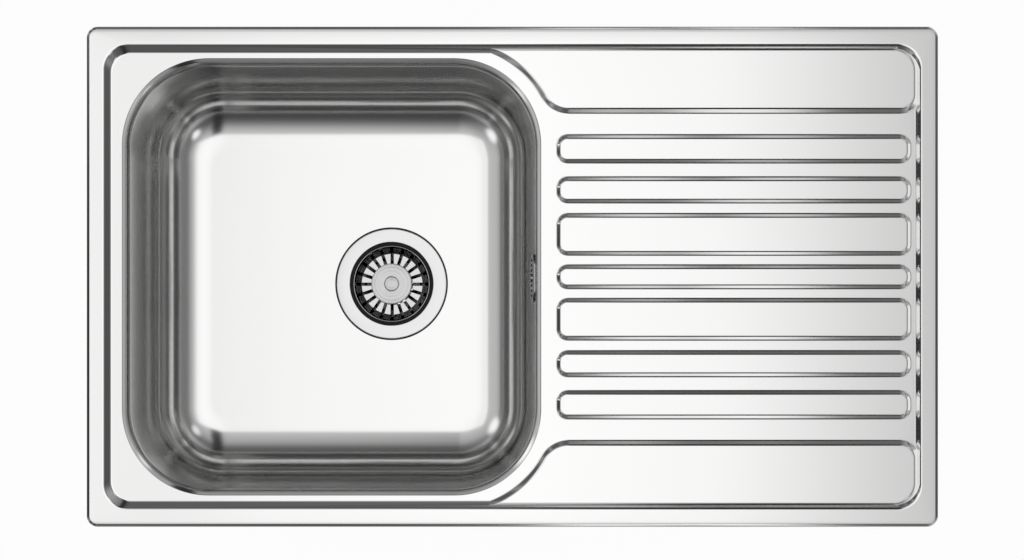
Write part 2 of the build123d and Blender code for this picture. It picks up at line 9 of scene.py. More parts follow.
import bmesh
import bpy
from bmesh.types import BMEdge, BMesh, BMVert
from bpy.types import Material, Mesh, Node, NodeSocket, NodeTree, Object
from mathutils import Matrix, Vector


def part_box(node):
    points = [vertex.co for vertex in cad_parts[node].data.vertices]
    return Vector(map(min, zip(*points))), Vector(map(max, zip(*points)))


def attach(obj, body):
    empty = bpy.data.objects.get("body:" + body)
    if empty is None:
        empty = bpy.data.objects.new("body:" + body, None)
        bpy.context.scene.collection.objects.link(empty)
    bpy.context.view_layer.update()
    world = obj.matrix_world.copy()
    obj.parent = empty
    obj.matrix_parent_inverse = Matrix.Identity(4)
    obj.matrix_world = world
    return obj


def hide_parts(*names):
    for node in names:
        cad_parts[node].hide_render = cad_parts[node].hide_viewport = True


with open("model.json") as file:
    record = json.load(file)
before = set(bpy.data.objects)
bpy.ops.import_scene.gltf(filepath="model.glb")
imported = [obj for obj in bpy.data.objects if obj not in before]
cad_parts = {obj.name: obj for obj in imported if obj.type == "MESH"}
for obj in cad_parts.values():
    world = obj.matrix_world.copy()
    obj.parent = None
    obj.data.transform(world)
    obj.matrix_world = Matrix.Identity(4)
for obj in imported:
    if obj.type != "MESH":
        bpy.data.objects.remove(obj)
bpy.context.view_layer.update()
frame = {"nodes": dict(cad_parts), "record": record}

log = logging.getLogger("sink")

Bends = tuple[tuple[float, float, float], ...]
Points = list[tuple[float, float]]
Colour = tuple[float, float, float]
Pairs = tuple[tuple[float, float], ...]
Feed = NodeSocket | float | tuple[float, ...] | Vector
Finishes = dict[str, Material]

SMOOTH_ANGLE = math.radians(32)
GUARD = 0.0004  # a narrow level strip beside a fold keeps the flat's shading flat
SAME_LEVEL = 1e-7
SAME_POINT = 1e-6
CIRCLE_STEPS = 96
WALL_SLOPES = (math.radians(8), math.radians(88))
SLOPE_HALVINGS = 50
WALL_FOLD_STEPS = 6
basket_low, basket_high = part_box("basket")
WASTE_PLACE = tuple((basket_low + basket_high).xy / 2)
FLOOR_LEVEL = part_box("strainer_cup")[1].z  # the flange lies flush with the bowl's floor
DECK_LEVEL = -0.002
SLOTS = {part["node"]: part["material_slot"] for part in frame["record"]["subparts"]}
FLAT = (1, 1, 0)  # times a direction, this leaves its level part
SHEET, SCRAP = 0, 1  # a block's faces that stay, and those that go once it is joined


# ---- outlines and lofts ----


@dataclass(frozen=True)
class Rectangle:
    """A rounded rectangle, in metres."""

    low_x: float
    low_y: float
    high_x: float
    high_y: float
    corner: float

    @classmethod
    def round_node(cls, node: str, corner: float) -> "Rectangle":
        """The outline of a CAD node, seen from above."""
        low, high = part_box(node)
        return cls(low.x, low.y, high.x, high.y, corner)

    def inset(self, amount: float, more_across: float = 0.0) -> "Rectangle":
        """The same outline moved inwards by amount on every side.

        Args:
            amount: how far every side moves.
            more_across: how much further the front and back sides move.

        Returns:
            The smaller outline.
        """
        return Rectangle(
            self.low_x + amount,
            self.low_y + amount + more_across,
            self.high_x - amount,
            self.high_y - amount - more_across,
            self.corner - amount,
        )

    def towards(self, other: "Rectangle", share: float) -> "Rectangle":
        """The outline that lies a share of the way to another one."""
        mix = [a + (b - a) * share for a, b in zip(astuple(self), astuple(other))]
        return Rectangle(*mix)

    def draw(self, bm: BMesh, level: float, segments: int = 14) -> list[BMEdge]:
        """Draw the outline as a loop of edges.

        Args:
            bm: mesh that takes the loop.
            level: height of the loop.
            segments: edges in each rounded corner.

        Returns:
            The loop's edges.
        """
        size = Vector((self.high_x - self.low_x, self.high_y - self.low_y, 1))
        centre = Vector(((self.high_x + self.low_x) / 2, (self.high_y + self.low_y) / 2, level))
        place = Matrix.Translation(centre) @ Matrix.Diagonal(size.to_4d())
        made = bmesh.ops.create_grid(bm, x_segments=1, y_segments=1, size=0.5, matrix=place)
        bevelled = bmesh.ops.bevel(
            bm, geom=made["verts"], offset=self.corner, offset_type="OFFSET",
            segments=segments, profile=0.5, affect="VERTICES", material=-1,
        )
        face = bevelled["verts"][0].link_faces[0]
        edges = list(face.edges)
        bmesh.ops.delete(bm, geom=[face], context="FACES_ONLY")
        return edges


@dataclass
class Pen:
    """Draws one closed outline of lines and arcs at a level."""

    bm: BMesh
    level: float
    made: list[BMEdge] = field(default_factory=list)
    tip: BMVert | None = None
    first: BMVert | None = None

    def start(self, x: float, y: float) -> None:
        """Set the pen down."""
        self.tip = self.bm.verts.new((x, y, self.level))
        self.first = self.tip

    def line(self, x: float, y: float) -> None:
        """Draw a straight line.

        Args:
            x: where it ends along the sink.
            y: where it ends across the sink.
        """
        made = bmesh.ops.extrude_vert_indiv(self.bm, verts=[self.tip])
        self.tip = made["verts"][0]
        self.tip.co = (x, y, self.level)
        self.made += made["edges"]

    def arc(self, centre_x: float, centre_y: float, angle: float, steps: int) -> None:
        """Swing the pen about a centre.

        Args:
            centre_x: the centre's place along the sink.
            centre_y: the centre's place across the sink.
            angle: how far it swings, in radians, anticlockwise if positive.
            steps: edges in the arc.
        """
        made = bmesh.ops.spin(
            self.bm, geom=[self.tip], cent=(centre_x, centre_y, self.level),
            axis=(0, 0, 1), angle=angle, steps=steps,
        )
        end = next(part for part in made["geom_last"] if isinstance(part, BMVert))
        walk = self.tip
        while walk is not end:
            step = next(edge for edge in walk.link_edges if edge not in self.made)
            self.made.append(step)
            walk = step.other_vert(walk)
        self.tip = end

    def close(self) -> list[BMEdge]:
        """Join the end to the start and return the loop's edges."""
        self.made.append(self.bm.edges.new((self.tip, self.first)))
        return self.made


def s_profile(run: float, rise: float, low_fold: float, high_fold: float) -> Points:
    """A pressed wall's section: a lower fold, a straight slope and an upper fold.

    Args:
        run: width of the wall seen from above.
        rise: height of the wall.
        low_fold: radius at its foot.
        high_fold: radius at its top.

    Returns:
        Pairs of run and height from the foot to the top, guards included.
    """

    def width(slope: float) -> float:
        """Work out the run that a wall takes.

        Args:
            slope: the slope of its straight part, in radians.

        Returns:
            The run.
        """
        folds = (low_fold + high_fold) * math.sin(slope)
        straight = rise - (low_fold + high_fold) * (1 - math.cos(slope))
        return folds + straight / math.tan(slope)

    gentle, steep = WALL_SLOPES
    for _ in range(SLOPE_HALVINGS):
        middle = (gentle + steep) / 2
        if width(middle) > run:
            gentle = middle
        else:
            steep = middle
    turns = [gentle * step / WALL_FOLD_STEPS for step in range(WALL_FOLD_STEPS + 1)]
    points = [(-GUARD, 0.0)]
    for turn in turns:
        points.append((low_fold * math.sin(turn), low_fold * (1 - math.cos(turn))))
    for turn in reversed(turns):
        over, under = high_fold * math.sin(turn), high_fold * (1 - math.cos(turn))
        points.append((run - over, rise - under))
    points.append((run + GUARD, rise))
    return points


def folded_section(bends: Bends, steps: int = 5) -> Points:
    """A bent sheet's section: straight runs joined by folds.

    Args:
        bends: run, height and fold radius of each bend; the two ends have no fold.
        steps: points in each fold.

    Returns:
        Pairs of run and height along the section.
    """
    points = [bends[0][:2]]
    for before, bend, after in zip(bends, bends[1:], bends[2:]):
        here = Vector(bend[:2])
        back = (Vector(before[:2]) - here).normalized()
        ahead = (Vector(after[:2]) - here).normalized()
        half = back.angle(ahead) / 2
        reach = bend[2] / math.tan(half)
        centre = here + (back + ahead).normalized() * (bend[2] / math.sin(half))
        first = here + back * reach - centre
        turn = (here + ahead * reach - centre).angle_signed(first)
        for step in range(steps + 1):
            spoke = Matrix.Rotation(turn * step / steps, 2) @ first
            points.append(tuple(centre + spoke))
    points.append(bends[-1][:2])
    return points


def fill_flat(bm: BMesh, edges: list[BMEdge]) -> None:
    """Fill the level surface between outlines."""
    bmesh.ops.triangle_fill(bm, use_beauty=True, use_dissolve=False, edges=edges)


def bridge(bm: BMesh, loops: list[list[BMEdge]]) -> None:
    """Skin a stack of loops; two loops at one level get a level strip between them.

    Args:
        bm: the loops' mesh.
        loops: the edges of each loop, in order.
    """
    for lower, upper in zip(loops, loops[1:]):
        if abs(lower[0].verts[0].co.z - upper[0].verts[0].co.z) < SAME_LEVEL:
            fill_flat(bm, lower + upper)
        else:
            bmesh.ops.bridge_loops(bm, edges=lower + upper)


def circle(bm: BMesh, centre: Vector, radius: float, segments: int = CIRCLE_STEPS) -> list[BMEdge]:
    """Draw a level circle.

    Args:
        bm: mesh that takes it.
        centre: its centre.
        radius: its radius.
        segments: how many edges it has.

    Returns:
        Its edges.
    """
    place = Matrix.Translation(centre)
    made = bmesh.ops.create_circle(bm, segments=segments, radius=radius, matrix=place)
    return list({edge for vert in made["verts"] for edge in vert.link_edges})


def lathe(bm: BMesh, points: Points, centre: Vector, steps: int, closed: bool = False) -> None:
    """Turn a section about a vertical axis.

    Args:
        bm: mesh that takes the surface.
        points: radius and height pairs along the section.
        centre: a point of the axis, from which the heights count.
        steps: divisions of the full turn.
        closed: whether the section's last point joins its first.
    """
    verts = [bm.verts.new((centre.x + r, centre.y, centre.z + z)) for r, z in points]
    edges = [bm.edges.new(pair) for pair in zip(verts, verts[1:])]
    if closed:
        edges.append(bm.edges.new((verts[-1], verts[0])))
    bmesh.ops.spin(
        bm, geom=verts + edges, cent=centre, axis=(0, 0, 1),
        angle=math.tau, steps=steps, use_merge=True,
    )
    bmesh.ops.remove_doubles(bm, verts=bm.verts, dist=SAME_POINT)
    bmesh.ops.recalc_face_normals(bm, faces=bm.faces)


# ---- blocks and finished pieces ----


def mesh_from(name: str, bm: BMesh) -> Mesh:
    """Turn a bmesh into a mesh.

    Args:
        name: the mesh's name.
        bm: the bmesh, which is freed.

    Returns:
        The mesh.
    """
    mesh = bpy.data.meshes.new(name)
    bm.to_mesh(mesh)
    bm.free()
    return mesh


def in_scene(name: str, data: bpy.types.ID) -> Object:
    """Put a mesh or a camera in the scene.

    Args:
        name: the object's name.
        data: the mesh or camera.

    Returns:
        The object.
    """
    placed = bpy.data.objects.new(name, data)
    bpy.context.scene.collection.objects.link(placed)
    return placed


def block(name: str, bm: BMesh) -> Object:
    """A closed block for joining or cutting, not a finished piece.

    Args:
        name: the block's name.
        bm: its mesh, which is freed.

    Returns:
        The block, with a slot for its sheet and one for its scrap.
    """
    bmesh.ops.remove_doubles(bm, verts=bm.verts, dist=SAME_POINT)
    bmesh.ops.recalc_face_normals(bm, faces=bm.faces)
    mesh = mesh_from(name, bm)
    for part in ("sheet", "scrap"):
        mesh.materials.append(bpy.data.materials.get(part) or bpy.data.materials.new(part))
    return in_scene(name, mesh)


def combined(base: Object, extra: Object, operation: str) -> Object:
    """Join two closed blocks, or cut one with the other.

    Args:
        base: the block that is kept.
        extra: the block that is added or taken away.
        operation: UNION or DIFFERENCE.

    Returns:
        A new block; the two are removed.
    """
    change = base.modifiers.new("combine", "BOOLEAN")
    change.operation = operation
    change.solver = "EXACT"
    change.object = extra
    bpy.context.view_layer.update()
    graph = bpy.context.evaluated_depsgraph_get()
    made = in_scene(base.name, bpy.data.meshes.new_from_object(base.evaluated_get(graph)))
    bpy.data.objects.remove(base)
    bpy.data.objects.remove(extra)
    return made


def unwrapped(piece: Object) -> BMesh:
    """Take a block's mesh back.

    Args:
        piece: the block, which is removed.

    Returns:
        Its mesh without the faces marked as scrap.
    """
    bm = bmesh.new()
    bm.from_mesh(piece.data)
    bpy.data.objects.remove(piece)
    scrap = [face for face in bm.faces if face.material_index == SCRAP]
    bmesh.ops.delete(bm, geom=scrap, context="FACES")
    loose = [vert for vert in bm.verts if not vert.link_faces]
    bmesh.ops.delete(bm, geom=loose, context="VERTS")
    return bm


def finished(name: str, bm: BMesh, material: Material, body: str, node: str) -> Object:
    """Turn a bmesh into a finished piece that rides on a body.

    Args:
        name: the piece's name.
        bm: its mesh, which is freed.
        material: its finish.
        body: the body that carries it.
        node: the CAD node that it stands for, which it hides.

    Returns:
        The new object.
    """
    mesh = mesh_from(name, bm)
    mesh.materials.append(material)
    mesh.shade_smooth()
    mesh.set_sharp_from_angle(angle=SMOOTH_ANGLE)
    piece = in_scene(name, mesh)
    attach(piece, body)
    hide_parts(node)
    log.info("%s: %d faces", name, len(mesh.polygons))
    return piece


def thicken(piece: Object, thickness: float) -> None:
    """Give a sheet its thickness, behind its finished side.

    Args:
        piece: the sheet.
        thickness: how thick it becomes.
    """
    sheet = piece.modifiers.new("sheet", "SOLIDIFY")
    sheet.thickness = thickness
    sheet.offset = -1


# ---- wiring of materials and lights ----


@dataclass
class Wiring:
    """Adds nodes to a shader tree and connects them."""

    tree: NodeTree

    def add(self, kind: str, feeds: dict[str | int, Feed] | None = None, **choices: object) -> Node:
        """Add a node.

        Args:
            kind: the node's type, without the beginning that all of them share.
            feeds: a socket or a fixed value for each input, by name or number.
            choices: the node's own settings, such as its operation.

        Returns:
            The node.
        """
        node = self.tree.nodes.new("ShaderNode" + kind)
        for name, choice in choices.items():
            setattr(node, name, choice)
        self.feed(node, feeds or {})
        return node

    def feed(self, node: Node, feeds: dict[str | int, Feed]) -> None:
        """Connect or set a node's inputs.

        Args:
            node: the node.
            feeds: a socket or a fixed value for each input, by name or number.
        """
        for place, source in feeds.items():
            if isinstance(source, NodeSocket):
                self.tree.links.new(source, node.inputs[place])
            else:
                node.inputs[place].default_value = source

    def math(self, operation: str, *feeds: Feed) -> NodeSocket:
        """A number worked out from others."""
        return self.add("Math", dict(enumerate(feeds)), operation=operation).outputs[0]

    def direction(self, operation: str, *feeds: Feed) -> NodeSocket:
        """A place or direction worked out from others."""
        return self.add("VectorMath", dict(enumerate(feeds)), operation=operation).outputs["Vector"]

    def measure(self, operation: str, *feeds: Feed) -> NodeSocket:
        """A number worked out from places or directions."""
        return self.add("VectorMath", dict(enumerate(feeds)), operation=operation).outputs["Value"]

    def parts(self, place: NodeSocket) -> bpy.types.NodeOutputs:
        """The X, Y and Z of a place or direction."""
        return self.add("SeparateXYZ", {"Vector": place}).outputs

    def range(self, value: NodeSocket, low: float, high: float, smooth: bool = False) -> NodeSocket:
        """How far a number has come from low to high, from 0 to 1.

        Args:
            value: the number.
            low: where the share starts.
            high: where it ends.
            smooth: whether it eases in and out.

        Returns:
            The share.
        """
        feeds = {"Value": value, "From Min": low, "From Max": high}
        ease = "SMOOTHSTEP" if smooth else "LINEAR"
        return self.add("MapRange", feeds, interpolation_type=ease).outputs["Result"]

    def between(self, share: NodeSocket, first: Feed, second: Feed, kind: str = "FLOAT") -> NodeSocket:
        """Mix two numbers or colours.

        Args:
            share: the second one's share.
            first: one number or colour.
            second: the other.
            kind: FLOAT for numbers, RGBA for colours.

        Returns:
            The mixture.
        """
        feeds = {"Factor": share, "A": first, "B": second}
        return self.add("Mix", feeds, data_type=kind).outputs["Result"]

    def ramp(self, value: NodeSocket, stops: Points) -> NodeSocket:
        """A level read off a line through some stops.

        Args:
            value: where on the line to read.
            stops: pairs of place and level, in order.

        Returns:
            The level, as a grey.
        """
        node = self.add("ValToRGB", {"Fac": value})
        elements = node.color_ramp.elements
        elements.remove(elements[0])
        elements[0].position = stops[0][0]
        for where, _ in stops[1:]:
            elements.new(where)
        for element, (_, level) in zip(elements, stops):
            element.color = (level, level, level, 1)
        return node.outputs["Color"]

    def noise(self, place: NodeSocket, scale: float, detail: float) -> NodeSocket:
        """A soft noise.

        Args:
            place: where it is read.
            scale: how fine it is.
            detail: how many finer layers it has.

        Returns:
            The noise, about 0.5 on average.
        """
        return self.add("TexNoise", {"Vector": place, "Scale": scale, "Detail": detail}).outputs["Fac"]

    def relief(self, height: NodeSocket, strength: float, depth: float) -> NodeSocket:
        """The normal of a surface with a fine relief.

        Args:
            height: the relief.
            strength: how much of it shows.
            depth: its depth in metres.

        Returns:
            The normal.
        """
        feeds = {"Height": height, "Strength": strength, "Distance": depth}
        return self.add("Bump", feeds).outputs["Normal"]


def new_material(name: str) -> tuple[Material, Wiring, Node]:
    """Start a material.

    Args:
        name: what it is called.

    Returns:
        The material, its wiring and its shader.
    """
    made = bpy.data.materials.new(name)
    made.use_nodes = True
    return made, Wiring(made.node_tree), made.node_tree.nodes["Principled BSDF"]


# ---- finishes ----


class Grain(Enum):
    """Which way a metal's fine scratches run."""

    NONE = "none"
    LENGTHWISE = "lengthwise"
    ROUND = "round"


@dataclass(frozen=True)
class MetalGrain:
    """The fine grain that all the metals share, as a node group."""

    scratch_scale: float = 1400.0
    scratch_detail: float = 2.0
    scratch_share: float = 0.3
    cloud_scale: float = 14.0
    cloud_detail: float = 4.0
    middle: float = 0.65

    def group(self) -> NodeTree:
        """Build the group.

        Returns:
            A group that gives a roughness and a height at a place.
        """
        tree = bpy.data.node_groups.new("metal grain", "ShaderNodeTree")
        for name in ("Vector", "Place"):
            tree.interface.new_socket(name, in_out="INPUT", socket_type="NodeSocketVector")
        for name in ("Roughness", "Variation"):
            tree.interface.new_socket(name, in_out="INPUT", socket_type="NodeSocketFloat")
        for name in ("Roughness", "Height"):
            tree.interface.new_socket(name, in_out="OUTPUT", socket_type="NodeSocketFloat")
        wiring = Wiring(tree)
        taken = tree.nodes.new("NodeGroupInput").outputs
        scratches = wiring.noise(taken["Vector"], self.scratch_scale, self.scratch_detail)
        clouds = wiring.noise(taken["Place"], self.cloud_scale, self.cloud_detail)
        uneven = wiring.math("MULTIPLY_ADD", scratches, self.scratch_share, clouds)
        centred = wiring.math("SUBTRACT", uneven, self.middle)
        roughness = wiring.math("MULTIPLY_ADD", centred, taken["Variation"], taken["Roughness"])
        given = tree.nodes.new("NodeGroupOutput")
        wiring.feed(given, {"Roughness": roughness, "Height": scratches})
        return tree


@dataclass(frozen=True)
class Steel:
    """A stainless or plated finish; some take a step of painted shade between two levels."""

    name: str
    colour: Colour
    roughness: float
    grain: Grain = Grain.ROUND
    variation: float = 0.02
    bump: float = 0.0
    grain_depth: float = 0.0003
    # the colour above a step of painted shade, and the two levels of that step
    colour_above_shade_step: Colour | None = None
    shade_step_levels: tuple[float, float] = (0.013, 0.053)  # over the bowl's floor
    axis: tuple[float, float] = WASTE_PLACE
    scratch_stretch: tuple[float, float, float] = (0.03, 1.0, 1.0)

    def material(self, grain_group: NodeTree) -> Material:
        """Build the finish as a material.

        Args:
            grain_group: the metals' grain.

        Returns:
            The material.
        """
        made, wiring, shader = new_material(self.name)
        place = wiring.add("TexCoord").outputs["Object"]
        feeds = {"Vector": self.along_scratches(wiring, place), "Place": place}
        feeds |= {"Roughness": self.roughness, "Variation": self.variation}
        grain = wiring.add("Group", feeds, node_tree=grain_group).outputs
        wiring.feed(shader, {
            "Base Color": self.shade(wiring, place), "Metallic": 1, "Roughness": grain["Roughness"],
        })
        if self.bump:
            wiring.feed(shader, {"Normal": wiring.relief(grain["Height"], self.bump, self.grain_depth)})
        return made

    def along_scratches(self, wiring: Wiring, place: NodeSocket) -> NodeSocket:
        """The place where the grain is read, drawn out along the scratches.

        Args:
            wiring: the material's wiring.
            place: the place on the piece.

        Returns:
            The place to read at.
        """
        if self.grain is Grain.NONE:
            return place
        if self.grain is Grain.LENGTHWISE:
            drawn = wiring.add("Mapping", {"Vector": place, "Scale": self.scratch_stretch})
            return drawn.outputs["Vector"]
        move = (-self.axis[0], -self.axis[1], 0)
        centred = wiring.add("Mapping", {"Vector": place, "Location": move}).outputs["Vector"]
        reach = wiring.measure("LENGTH", wiring.direction("MULTIPLY", centred, FLAT))
        return wiring.add("CombineXYZ", {"X": reach}).outputs["Vector"]

    def shade(self, wiring: Wiring, place: NodeSocket) -> Feed:
        """The colour, with painted shade stepped in between two levels on the bowl, the waste's cup and
        the basket.

        Args:
            wiring: the material's wiring.
            place: the place on the piece.

        Returns:
            One colour, or a socket that gives it.
        """
        plain = (*self.colour, 1)
        if self.colour_above_shade_step is None:
            return plain
        low, high = (FLOOR_LEVEL + level for level in self.shade_step_levels)
        share = wiring.range(wiring.parts(place)["Z"], low, high, smooth=True)
        return wiring.between(share, plain, (*self.colour_above_shade_step, 1), "RGBA")


@dataclass(frozen=True)
class Moulded:
    """A plastic or rubber finish with a fine moulded texture."""

    name: str
    colour: Colour
    roughness: float
    texture_scale: float = 400.0
    texture_detail: float = 4.0
    bump: float = 0.05
    texture_depth: float = 0.0005
    gloss: float = 0.5
    dark_share: float = 0.85
    roughness_spread: float = 0.06

    def material(self) -> Material:
        """Build the finish as a material.

        Returns:
            The material.
        """
        made, wiring, shader = new_material(self.name)
        place = wiring.add("TexCoord").outputs["Object"]
        texture = wiring.noise(place, self.texture_scale, self.texture_detail)
        darker = tuple(self.dark_share * part for part in self.colour)
        low, high = self.roughness - self.roughness_spread, self.roughness + self.roughness_spread
        rough = wiring.add("MapRange", {"Value": texture, "To Min": low, "To Max": high})
        wiring.feed(shader, {
            "Base Color": wiring.between(texture, (*darker, 1), (*self.colour, 1), "RGBA"),
            "Roughness": rough.outputs["Result"],
            "Specular IOR Level": self.gloss,
            "Normal": wiring.relief(texture, self.bump, self.texture_depth),
        })
        return made


STEELS = {
    "deck_steel": Steel("deck steel", (0.81, 0.81, 0.805), 0.10, Grain.LENGTHWISE),
    # painted shade: the colour turns darker up the bowl's walls than on its floor
    "bowl_steel": Steel(
        "bowl steel with painted shade", (0.8, 0.8, 0.795), 0.15, Grain.NONE,
        variation=0.004, colour_above_shade_step=(0.5, 0.5, 0.495),
    ),
    "waste_steel": Steel("waste steel", (0.8, 0.8, 0.8), 0.09),
    # painted shade: near black below the flange, for the shade in the cup under the basket; the flange's
    # top keeps a pale steel
    "flange_steel_painted_shade": Steel(
        "flange steel with painted shade", (0.07, 0.07, 0.07), 0.16,
        colour_above_shade_step=(0.7, 0.7, 0.7), shade_step_levels=(-0.0050, -0.0012),
    ),
    # painted shade: darker above the basket's flat plates, on its sloping ring, and on the overflow rose
    # and screw
    "pressed_steel_painted_shade": Steel(
        "pressed waste steel with painted shade", (0.8, 0.8, 0.8), 0.09, variation=0.005,
        colour_above_shade_step=(0.36, 0.36, 0.36), shade_step_levels=(-0.0129, -0.0118),
    ),
    "brushed_knob": Steel("turned steel", (0.58, 0.58, 0.58), 0.22, bump=0.8),
    "clip_steel": Steel("zinc plate", (0.7, 0.71, 0.69), 0.3, Grain.NONE, bump=0.1, grain_depth=0.0002),
}
MOULDINGS = {
    "rubber": Moulded("black rubber", (0.015, 0.015, 0.015), 0.6, gloss=0.15),
    "foam": Moulded("seal foam", (0.1, 0.1, 0.1), 0.8, texture_scale=900.0, bump=0.4),
    "sound_pad": Moulded("sound pad", (0.16, 0.16, 0.16), 0.75, texture_scale=300.0, bump=0.4),
    "waste_plastic": Moulded("waste plastic", (0.8, 0.8, 0.79), 0.4),
    "nut_plastic": Moulded("nut plastic", (0.74, 0.74, 0.73), 0.42),
}


def make_finishes() -> Finishes:
    """Make every finish once.

    Returns:
        The materials, by the record's slot or, for the flange and pressed steel, by their own key.
    """
    group = MetalGrain().group()
    made = {key: steel.material(group) for key, steel in STEELS.items()}
    return made | {key: moulding.material() for key, moulding in MOULDINGS.items()}


# ---- sub-assemblies ----


@dataclass
class SinkTop:
    """The pressed sheet: folded rim, recessed deck, corner panels, ribs and the bowl's mouth."""

    finishes: Finishes
    sheet: float = 0.0008
    rim: Rectangle = Rectangle.round_node("sink_top", 0.0105)
    rim_top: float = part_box("sink_top")[1].z
    rim_edge: Bends = (
        (0.0, 0.0, 0.0), (0.0, 0.0016, 0.0005), (0.0029, 0.0037, 0.0006), (0.0060, 0.00375, 0.0),
    )
    slab_foot: float = -0.03
    recess: Rectangle = Rectangle(-0.3853, -0.2199, 0.3847, 0.2199, 0.024)
    deck: Rectangle = Rectangle(-0.3764, -0.2095, 0.3787, 0.2090, 0.0185)
    wall_fold: float = 0.0035
    rib_level: float = 0.001
    rib_start: float = 0.0405
    rib_end: float = 0.376
    rib_corner: float = 0.0115
    rib_run: float = 0.0058
    rib_low_fold: float = 0.0030
    rib_high_fold: float = 0.0028
    middle_rib_width: float = 0.0248
    paired_ribs: Pairs = ((0.0399, 0.0416), (0.0817, 0.0269), (0.1203, 0.029))  # place across and width
    mouth: Rectangle = Rectangle(-0.36755, -0.2058, 0.02715, 0.2058, 0.082)
    mouth_steps: int = 40
    lip_edge: tuple[float, float] = (0.0006, -0.00245)  # inset and level, as in the next line
    lip_brow: tuple[float, float] = (0.0040, -0.00400)
    lip_creases: tuple[float, float, float] = (0.0004, 0.0005, 0.0012)
    collar_level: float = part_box("sink_top")[0].z
    draft: float = 0.0911  # how far the bowl's wall leans in for each metre down
    panel_level: float = 0.002
    panel_run: float = 0.0073
    panel_back: float = 0.2121
    panel_end: float = 0.3766
    panel_front: float = 0.15625
    panel_swing: float = 0.096
    panel_reverse: float = 0.028
    panel_back_corner: float = 0.019
    panel_front_corner: float = 0.0115
    panel_tip: float = 0.00002  # a tiny step that blunts the panel's pointed end
    panel_low_fold: float = 0.003
    panel_high_fold: float = 0.004
    panel_depth: float = 0.01
    panel_corner_steps: int = 12
    panel_swing_steps: int = 40
    panel_reverse_steps: int = 20

    def build(self) -> None:
        """Make the sink top."""
        slab = self.slab()
        for side in (1, -1):
            slab = combined(slab, self.panel(side), "UNION")
        steel = self.finishes["deck_steel"]
        thicken(finished("sink_top_sheet", unwrapped(slab), steel, "sink", "sink_top"), self.sheet)

    def mouth_profile(self) -> Points:
        """The mouth's section from the deck over the lip and down the collar.

        Returns:
            Pairs of inset and level.
        """
        brow_x, brow_z = self.lip_brow
        foot = brow_x + self.draft * (brow_z - self.collar_level)
        crease, edge, brow = self.lip_creases
        return folded_section((
            (-2 * GUARD, DECK_LEVEL, 0.0),
            (0.0, DECK_LEVEL, crease),
            (*self.lip_edge, edge),
            (brow_x, brow_z, brow),
            (foot, self.collar_level, 0.0),
        ))

    def slab(self) -> Object:
        """A closed slab with every feature of the top but the corner panels.

        Returns:
            The block, with its faces below the sheet marked as scrap.
        """
        bm = bmesh.new()
        rim_loops = [
            self.rim.inset(inset).draw(bm, level) for inset, level in folded_section(self.rim_edge)
        ]
        bridge(bm, rim_loops)
        recess_loops = self.recess_loops(bm)
        bridge(bm, recess_loops)
        edges = recess_loops[0] + self.rib(bm, 0.0, self.middle_rib_width)
        for place, width in self.paired_ribs:
            for side in (1, -1):
                edges += self.rib(bm, side * place, width)
        mouth_loops = [
            self.mouth.inset(inset).draw(bm, level, self.mouth_steps)
            for inset, level in self.mouth_profile()
        ]
        bridge(bm, mouth_loops)
        fill_flat(bm, edges + mouth_loops[0])
        bridge(bm, [rim_loops[-1], recess_loops[-1]])
        sheet = set(bm.faces)
        bmesh.ops.edgeloop_fill(bm, edges=mouth_loops[-1])
        foot = self.rim.draw(bm, self.slab_foot)
        bridge(bm, [foot, rim_loops[0]])
        bmesh.ops.edgeloop_fill(bm, edges=foot)
        for face in bm.faces:
            face.material_index = SHEET if face in sheet else SCRAP
        return block("slab", bm)

    def recess_loops(self, bm: BMesh) -> list[list[BMEdge]]:
        """Draw the wall between the deck and the rim.

        Args:
            bm: the slab's mesh.

        Returns:
            The wall's loops, from the deck up.
        """
        run = self.deck.low_x - self.recess.low_x
        rise = self.rim_top - DECK_LEVEL
        loops = []
        for along, level in s_profile(run, rise, self.wall_fold, self.wall_fold):
            outline = self.deck.towards(self.recess, along / run)
            loops.append(outline.draw(bm, DECK_LEVEL + level))
        return loops

    def rib(self, bm: BMesh, place: float, width: float) -> list[BMEdge]:
        """Press one rib.

        Args:
            bm: the slab's mesh.
            place: the rib's middle across the sink.
            width: its width at the foot.

        Returns:
            The loop where it leaves the deck.
        """
        foot = Rectangle(
            self.rib_start, place - width / 2, self.rib_end, place + width / 2, self.rib_corner
        )
        rise = self.rib_level - DECK_LEVEL
        loops = []
        for inset, level in s_profile(self.rib_run, rise, self.rib_low_fold, self.rib_high_fold):
            loops.append(foot.inset(inset).draw(bm, DECK_LEVEL + level))
        bridge(bm, loops)
        bmesh.ops.edgeloop_fill(bm, edges=loops[-1])
        return loops[0]

